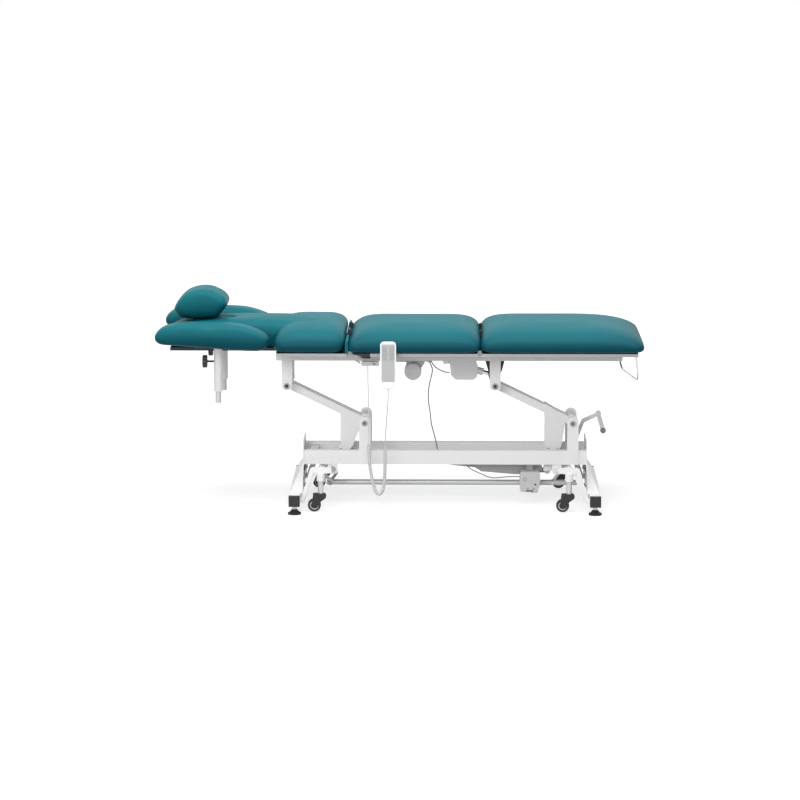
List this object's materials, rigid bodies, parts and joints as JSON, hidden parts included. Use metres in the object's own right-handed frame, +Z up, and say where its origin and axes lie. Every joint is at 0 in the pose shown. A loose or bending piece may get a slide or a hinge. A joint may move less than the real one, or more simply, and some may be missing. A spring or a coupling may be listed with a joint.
{
  "type": "electric massage table",
  "caption": "Sectioned padded treatment table with powered height, back and leg sections, dropping armrests, a corded handset and a pedal-worked castor lift.",
  "frame": {"origin": "on the floor under the middle of the table", "axes": "+X towards the foot end, +Y away from the handset side, +Z up"},
  "size_m": [1.852, 0.67, 0.8253],
  "materials": {
    "frame_white": "white powder coat",
    "drive_grey": "dark grey paint and plastic covers",
    "bright_steel": "plated steel",
    "black_plastic": "black moulded plastic",
    "board_black": "plywood with a black underside",
    "back_board": "powder coated steel under a black board",
    "vinyl_teal": "smooth teal vinyl over foam",
    "box_grey": "light grey moulded plastic",
    "handset_grey": "white rim round a silver face",
    "button_grey": "grey keys",
    "cable_grey": "light grey cable sheath",
    "fork_black": "black moulded fork",
    "wheel_black": "black tyre with a pale ring",
    "foot_black": "black rubber foot on a steel stud"
  },
  "bodies": {
    "base": {"base_rails": "frame_white", "post_plates": "frame_white", "head_leg": "frame_white", "foot_leg": "frame_white", "foot_caps": "black_plastic", "control_box": "box_grey", "box_cable": "cable_grey"},
    "head_arm": {"head_arm": "frame_white"},
    "foot_arm": {"foot_arm": "frame_white"},
    "top_frame": {"top_rails": "frame_white", "hanger_plates": "frame_white", "seat_board": "board_black", "seat_cushion": "vinyl_teal", "handset_case": "handset_grey", "lead_upper": "cable_grey", "lead_curl": "cable_grey", "lead_lower": "cable_grey", "lift_cable": "cable_grey", "leg_cable": "cable_grey"},
    "back": {"back_frame": "back_board", "back_cushion": "vinyl_teal", "pillow": "vinyl_teal"},
    "armrest_near": {"armrest_stem_near": "bright_steel", "armrest_pad_near": "vinyl_teal"},
    "armrest_far": {"armrest_stem_far": "bright_steel", "armrest_pad_far": "vinyl_teal"},
    "knob_near": {"armrest_knob_near": "black_plastic"},
    "knob_far": {"armrest_knob_far": "black_plastic"},
    "leg": {"leg_board": "board_black", "leg_cushion": "vinyl_teal", "paper_holder": "bright_steel"},
    "lift_motor": {"lift_motor": "drive_grey"},
    "lift_rod": {"lift_rod": "bright_steel"},
    "back_motor": {"back_motor": "drive_grey"},
    "back_rod": {"back_rod": "bright_steel"},
    "leg_motor": {"leg_motor": "drive_grey"},
    "leg_rod": {"leg_rod": "bright_steel"},
    "head_castors": {"head_castor_frame": "frame_white"},
    "foot_castors": {"foot_castor_frame": "frame_white"},
    "head_shaft": {"head_cam_shaft": "drive_grey"},
    "pedal": {"pedal": "frame_white"},
    "link_rod": {"link_rod": "drive_grey"},
    "button_1": {"handset_button_1": "button_grey"},
    "button_2": {"handset_button_2": "button_grey"},
    "button_3": {"handset_button_3": "button_grey"},
    "button_4": {"handset_button_4": "button_grey"},
    "button_5": {"handset_button_5": "button_grey"},
    "button_6": {"handset_button_6": "button_grey"},
    "fork_head_near": {"castor_fork_head_near": "fork_black"},
    "wheel_head_near": {"castor_wheel_head_near": "wheel_black"},
    "foot_head_near": {"levelling_foot_head_near": "foot_black"},
    "fork_head_far": {"castor_fork_head_far": "fork_black"},
    "wheel_head_far": {"castor_wheel_head_far": "wheel_black"},
    "foot_head_far": {"levelling_foot_head_far": "foot_black"},
    "fork_foot_near": {"castor_fork_foot_near": "fork_black"},
    "wheel_foot_near": {"castor_wheel_foot_near": "wheel_black"},
    "foot_foot_near": {"levelling_foot_foot_near": "foot_black"},
    "fork_foot_far": {"castor_fork_foot_far": "fork_black"},
    "wheel_foot_far": {"castor_wheel_foot_far": "wheel_black"},
    "foot_foot_far": {"levelling_foot_foot_far": "foot_black"}
  },
  "joints": [
    {"name": "lift", "type": "hinge", "parent": "base", "child": "head_arm", "pos_m": [-0.134, 0, 0.3195], "axis": [0, 1, 0], "range_deg": [-34, 34]},
    {"name": "foot_arm_swing", "type": "hinge", "parent": "base", "child": "foot_arm", "pos_m": [0.6623, 0, 0.3195], "axis": [0, 1, 0], "range_deg": [-34, 34]},
    {"name": "top_level", "type": "hinge", "parent": "head_arm", "child": "top_frame", "pos_m": [-0.4312, 0, 0.463], "axis": [0, 1, 0], "range_deg": [-34, 34]},
    {"name": "lift_motor_swing", "type": "hinge", "parent": "base", "child": "lift_motor", "pos_m": [0.569, 0, 0.118], "axis": [0, 1, 0], "range_deg": [-3.7, 3.7]},
    {"name": "lift_rod_slide", "type": "slide", "parent": "lift_motor", "child": "lift_rod", "axis": [-0.995, 0, 0.0998], "range_m": [-0.083, 0.083]},
    {"name": "back_lift", "type": "hinge", "parent": "top_frame", "child": "back", "pos_m": [-0.19, 0, 0.672], "axis": [0, 1, 0], "range_deg": [0, 60]},
    {"name": "back_motor_swing", "type": "hinge", "parent": "top_frame", "child": "back_motor", "pos_m": [0.11, 0, 0.55], "axis": [0, 1, 0], "range_deg": [0, 2.6]},
    {"name": "back_rod_slide", "type": "slide", "parent": "back_motor", "child": "back_rod", "axis": [-1, 0, 0], "range_m": [0, 0.1305]},
    {"name": "leg_lift", "type": "hinge", "parent": "top_frame", "child": "leg", "pos_m": [0.31, 0, 0.672], "axis": [0, -1, 0], "range_deg": [0, 35]},
    {"name": "leg_motor_swing", "type": "hinge", "parent": "top_frame", "child": "leg_motor", "pos_m": [0.175, 0, 0.552], "axis": [0, -1, 0], "range_deg": [0, 16.8]},
    {"name": "leg_rod_slide", "type": "slide", "parent": "leg_motor", "child": "leg_rod", "axis": [0.9611, 0, -0.2761], "range_m": [0, 0.088]},
    {"name": "pedal_press", "type": "hinge", "parent": "base", "child": "pedal", "pos_m": [0.6033, 0, 0.141], "axis": [0, 1, 0], "range_deg": [0, 25]},
    {"name": "link_swing", "type": "hinge", "parent": "pedal", "child": "link_rod", "pos_m": [0.5897, 0, 0.0698], "axis": [0, 1, 0], "range_deg": [-25, 0]},
    {"name": "head_shaft_turn", "type": "hinge", "parent": "base", "child": "head_shaft", "pos_m": [-0.256, 0, 0.141], "axis": [0, 1, 0], "range_deg": [0, 25]},
    {"name": "head_castor_drop", "type": "hinge", "parent": "base", "child": "head_castors", "pos_m": [-0.367, 0, 0.047], "axis": [0, 1, 0], "range_deg": [0, 7.8]},
    {"name": "foot_castor_drop", "type": "hinge", "parent": "base", "child": "foot_castors", "pos_m": [0.7143, 0, 0.047], "axis": [0, 1, 0], "range_deg": [-7.8, 0]},
    {"name": "swivel_head_near", "type": "hinge", "parent": "head_castors", "child": "fork_head_near", "pos_m": [-0.298, -0.25, 0.09], "axis": [0, 0, 1], "continuous": true},
    {"name": "roll_head_near", "type": "hinge", "parent": "fork_head_near", "child": "wheel_head_near", "pos_m": [-0.322, -0.25, 0.0266], "axis": [0, 1, 0], "continuous": true},
    {"name": "swivel_head_far", "type": "hinge", "parent": "head_castors", "child": "fork_head_far", "pos_m": [-0.298, 0.25, 0.09], "axis": [0, 0, 1], "continuous": true},
    {"name": "roll_head_far", "type": "hinge", "parent": "fork_head_far", "child": "wheel_head_far", "pos_m": [-0.322, 0.25, 0.0266], "axis": [0, 1, 0], "continuous": true},
    {"name": "swivel_foot_near", "type": "hinge", "parent": "foot_castors", "child": "fork_foot_near", "pos_m": [0.6453, -0.25, 0.09], "axis": [0, 0, 1], "continuous": true},
    {"name": "roll_foot_near", "type": "hinge", "parent": "fork_foot_near", "child": "wheel_foot_near", "pos_m": [0.6213, -0.25, 0.0266], "axis": [0, 1, 0], "continuous": true},
    {"name": "swivel_foot_far", "type": "hinge", "parent": "foot_castors", "child": "fork_foot_far", "pos_m": [0.6453, 0.25, 0.09], "axis": [0, 0, 1], "continuous": true},
    {"name": "roll_foot_far", "type": "hinge", "parent": "fork_foot_far", "child": "wheel_foot_far", "pos_m": [0.6213, 0.25, 0.0266], "axis": [0, 1, 0], "continuous": true},
    {"name": "armrest_slide_near", "type": "slide", "parent": "back", "child": "armrest_near", "axis": [0, 0, 1], "range_m": [0, 0.1]},
    {"name": "knob_turn_near", "type": "hinge", "parent": "back", "child": "knob_near", "pos_m": [-0.74, -0.16, 0.564], "axis": [1, 0, 0], "range_deg": [0, 180]},
    {"name": "armrest_slide_far", "type": "slide", "parent": "back", "child": "armrest_far", "axis": [0, 0, 1], "range_m": [0, 0.1]},
    {"name": "knob_turn_far", "type": "hinge", "parent": "back", "child": "knob_far", "pos_m": [-0.74, 0.16, 0.564], "axis": [1, 0, 0], "range_deg": [0, 180]},
    {"name": "level_head_near", "type": "slide", "parent": "base", "child": "foot_head_near", "axis": [0, 0, 1], "range_m": [-0.01, 0]},
    {"name": "level_head_far", "type": "slide", "parent": "base", "child": "foot_head_far", "axis": [0, 0, 1], "range_m": [-0.01, 0]},
    {"name": "level_foot_near", "type": "slide", "parent": "base", "child": "foot_foot_near", "axis": [0, 0, 1], "range_m": [-0.01, 0]},
    {"name": "level_foot_far", "type": "slide", "parent": "base", "child": "foot_foot_far", "axis": [0, 0, 1], "range_m": [-0.01, 0]},
    {"name": "press_1", "type": "slide", "parent": "top_frame", "child": "button_1", "axis": [0, 1, 0], "range_m": [0, 0.001], "stiffness_N_per_m": 600},
    {"name": "press_2", "type": "slide", "parent": "top_frame", "child": "button_2", "axis": [0, 1, 0], "range_m": [0, 0.001], "stiffness_N_per_m": 600},
    {"name": "press_3", "type": "slide", "parent": "top_frame", "child": "button_3", "axis": [0, 1, 0], "range_m": [0, 0.001], "stiffness_N_per_m": 600},
    {"name": "press_4", "type": "slide", "parent": "top_frame", "child": "button_4", "axis": [0, 1, 0], "range_m": [0, 0.001], "stiffness_N_per_m": 600},
    {"name": "press_5", "type": "slide", "parent": "top_frame", "child": "button_5", "axis": [0, 1, 0], "range_m": [0, 0.001], "stiffness_N_per_m": 600},
    {"name": "press_6", "type": "slide", "parent": "top_frame", "child": "button_6", "axis": [0, 1, 0], "range_m": [0, 0.001], "stiffness_N_per_m": 600}
  ],
  "couplings": [
    {"joint": "foot_arm_swing", "follows": "lift", "ratio": 1},
    {"joint": "top_level", "follows": "lift", "ratio": -1},
    {"joint": "lift_motor_swing", "follows": "lift", "ratio": 0.1056},
    {"joint": "lift_rod_slide", "follows": "lift", "m_per_rad": 0.13882},
    {"joint": "back_motor_swing", "follows": "back_lift", "ratio": 0.0418},
    {"joint": "back_rod_slide", "follows": "back_lift", "m_per_rad": 0.12395},
    {"joint": "leg_motor_swing", "follows": "leg_lift", "ratio": 0.478},
    {"joint": "leg_rod_slide", "follows": "leg_lift", "m_per_rad": 0.14355},
    {"joint": "link_swing", "follows": "pedal_press", "ratio": -1},
    {"joint": "head_shaft_turn", "follows": "pedal_press", "ratio": 1},
    {"joint": "head_castor_drop", "follows": "pedal_press", "ratio": 0.3106},
    {"joint": "foot_castor_drop", "follows": "pedal_press", "ratio": -0.3106}
  ]
}
